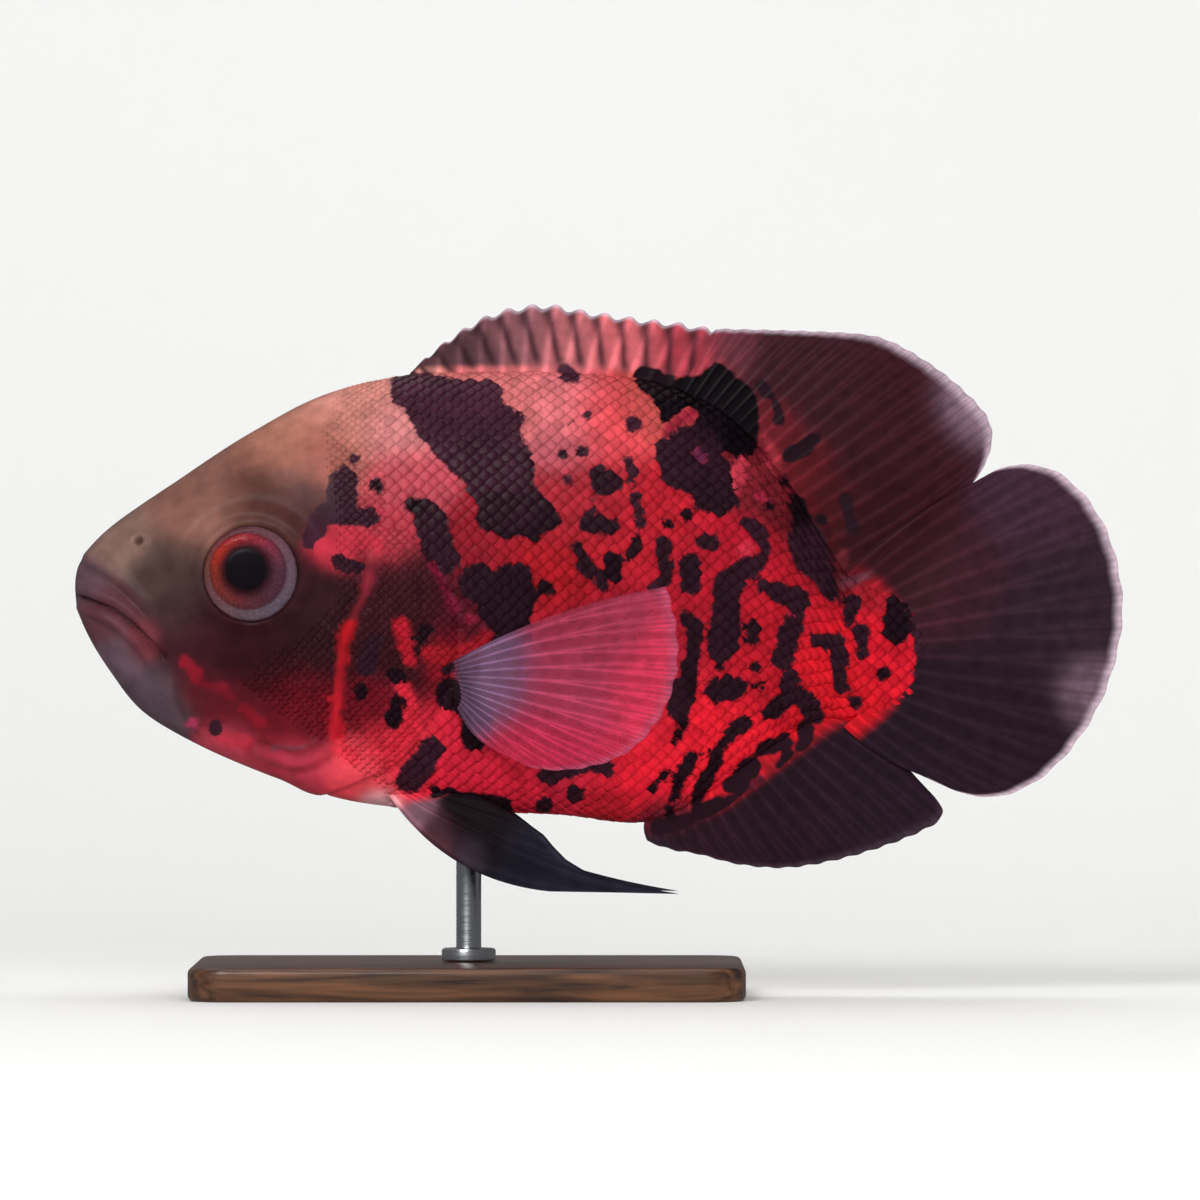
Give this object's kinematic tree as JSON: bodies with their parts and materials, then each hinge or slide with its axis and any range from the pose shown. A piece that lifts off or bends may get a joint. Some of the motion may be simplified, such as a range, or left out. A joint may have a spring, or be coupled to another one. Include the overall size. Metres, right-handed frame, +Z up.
{
  "type": "oscar fish",
  "caption": "Life-size still model of a red tiger oscar, swimming level with its fins spread, held over a flat base by one slim rod.",
  "frame": {"origin": "on the floor, under the middle of the whole model", "axes": "+X runs along the fish towards its tail, with the snout towards -X. +Y runs across it, its left side towards -Y. +Z is up."},
  "size_m": [0.2522, 0.092, 0.166],
  "materials": {
    "skin": "moist scaled skin, red with black-purple blotches, gloss",
    "fin": "dark purple-black membrane over soft rays, satin to gloss",
    "pectoral": "thin pink see-through membrane over lilac rays, gloss",
    "eye": "polished clear dome over a red iris and a black pupil",
    "base": "walnut with a satin varnish",
    "rod": "fine brushed stainless rod"
  },
  "bodies": {
    "root": {"head": "skin", "upper_jaw": "skin", "lower_jaw": "skin", "gill_cover_left": "skin", "gill_cover_right": "skin", "eye_left": "eye", "eye_right": "eye", "trunk": "skin", "tail_stalk": "skin", "dorsal_fin_spiny": "fin", "dorsal_fin_soft": "fin", "anal_fin": "fin", "tail_fin": "fin", "pectoral_fin_left": "pectoral", "pectoral_fin_right": "pectoral", "pelvic_fin_left": "fin", "pelvic_fin_right": "fin", "stand_base": "base", "stand_rod": "rod"}
  },
  "joints": []
}
